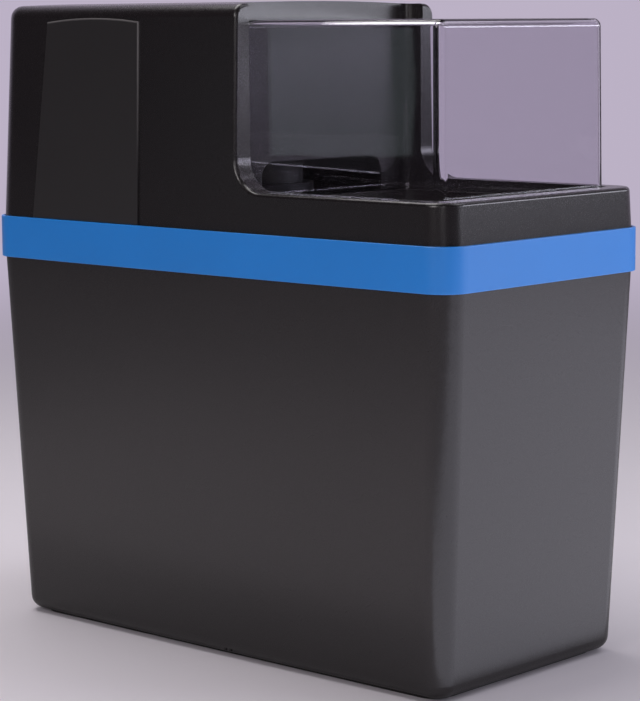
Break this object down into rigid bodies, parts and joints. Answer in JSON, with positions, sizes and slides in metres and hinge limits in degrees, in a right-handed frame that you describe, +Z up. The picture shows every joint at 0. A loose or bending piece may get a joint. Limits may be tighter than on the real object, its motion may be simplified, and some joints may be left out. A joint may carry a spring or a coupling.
{
  "type": "water softener",
  "caption": "Compact cabinet water softener: tapered tub, stepped cover with a clear lift-off salt lid, resin cylinders, gear-driven valve.",
  "frame": {"origin": "on the floor, under the middle of the cabinet's bounding box", "axes": "+Z up; -Y is the front, where the clear lid is; +X is the cabinet's right side seen from the front, and the side plate is on -X"},
  "size_m": [0.2416, 0.483, 0.5],
  "materials": {
    "cabinet": "satin moulded, anthracite",
    "plate": "satin moulded, darker anthracite, bare",
    "band": "satin gloss, blue",
    "lid": "clear, slightly smoked, glossy",
    "inner_white": "natural white moulding",
    "inner_grey": "light grey moulding",
    "tank": "dark grey moulded vessel",
    "resin": "amber beads",
    "rubber": "matt black",
    "steel": "stainless, brushed",
    "valve_black": "glass-filled, black",
    "valve_grey": "mid grey moulding",
    "brass": "plain machined",
    "ceramic": "lapped ceramic face",
    "gear": "acetal, ivory",
    "knob": "moulded, blue",
    "float": "foamed, white",
    "hose": "soft tube, natural"
  },
  "bodies": {
    "cabinet": {"cabinet_tub": "cabinet", "top_cover": "cabinet", "side_plate": "plate", "trim_band": "band", "divider_panel": "inner_white", "salt_platform": "inner_white", "front_cylinder": "tank", "rear_cylinder": "tank", "front_resin_bed": "resin", "rear_resin_bed": "resin", "riser_tubes": "inner_white", "lower_strainers": "inner_grey", "upper_strainers": "inner_grey", "neck_seals": "rubber", "front_neck_clamp": "steel", "rear_neck_clamp": "steel", "clamp_bolts": "steel", "valve_manifold": "valve_black", "inlet_adaptor": "brass", "outlet_adaptor": "brass", "adaptor_seals": "rubber", "inlet_strainer": "steel", "adaptor_clips": "steel", "drain_spigot": "valve_black", "gear_case": "valve_black", "gear_case_gasket": "rubber", "gear_case_lid": "valve_grey", "gear_case_screws": "steel", "port_disc": "ceramic", "gear_pins": "steel", "turbine_bush": "brass", "brine_well": "inner_white", "brine_valve": "valve_grey", "pickup_tube": "inner_grey", "pickup_strainer": "inner_grey", "brine_hose": "hose", "overflow_grommet": "rubber"},
    "lid": {"clear_lid": "lid"},
    "control": {"control_gear": "gear", "advance_knob": "knob"},
    "first_gear": {"first_gear": "gear"},
    "second_gear": {"second_gear": "gear"},
    "turbine": {"turbine_rotor": "gear", "turbine_shaft": "steel", "turbine_pinion": "gear"},
    "float": {"brine_float": "float", "float_rod": "inner_grey"}
  },
  "joints": [
    {"name": "lid_lift", "type": "slide", "parent": "cabinet", "child": "lid", "axis": [0, 0, 1], "range_m": [0, 0.15]},
    {"name": "control_spin", "type": "hinge", "parent": "cabinet", "child": "control", "pos_m": [0, 0.064, 0.39], "axis": [0, 0, 1], "continuous": true},
    {"name": "second_gear_spin", "type": "hinge", "parent": "cabinet", "child": "second_gear", "pos_m": [0.0275, 0.0895, 0.39], "axis": [0, 0, 1], "continuous": true},
    {"name": "first_gear_spin", "type": "hinge", "parent": "cabinet", "child": "first_gear", "pos_m": [0.02382, 0.11675, 0.39], "axis": [0, 0, 1], "continuous": true},
    {"name": "turbine_spin", "type": "hinge", "parent": "cabinet", "child": "turbine", "pos_m": [0, 0.103, 0.39], "axis": [0, 0, 1], "continuous": true},
    {"name": "float_slide", "type": "slide", "parent": "cabinet", "child": "float", "axis": [0, 0, 1], "range_m": [0, 0.04]}
  ],
  "couplings": [
    {"joint": "second_gear_spin", "follows": "control_spin", "ratio": -4},
    {"joint": "first_gear_spin", "follows": "control_spin", "ratio": 10.667},
    {"joint": "turbine_spin", "follows": "control_spin", "ratio": -28.444}
  ]
}
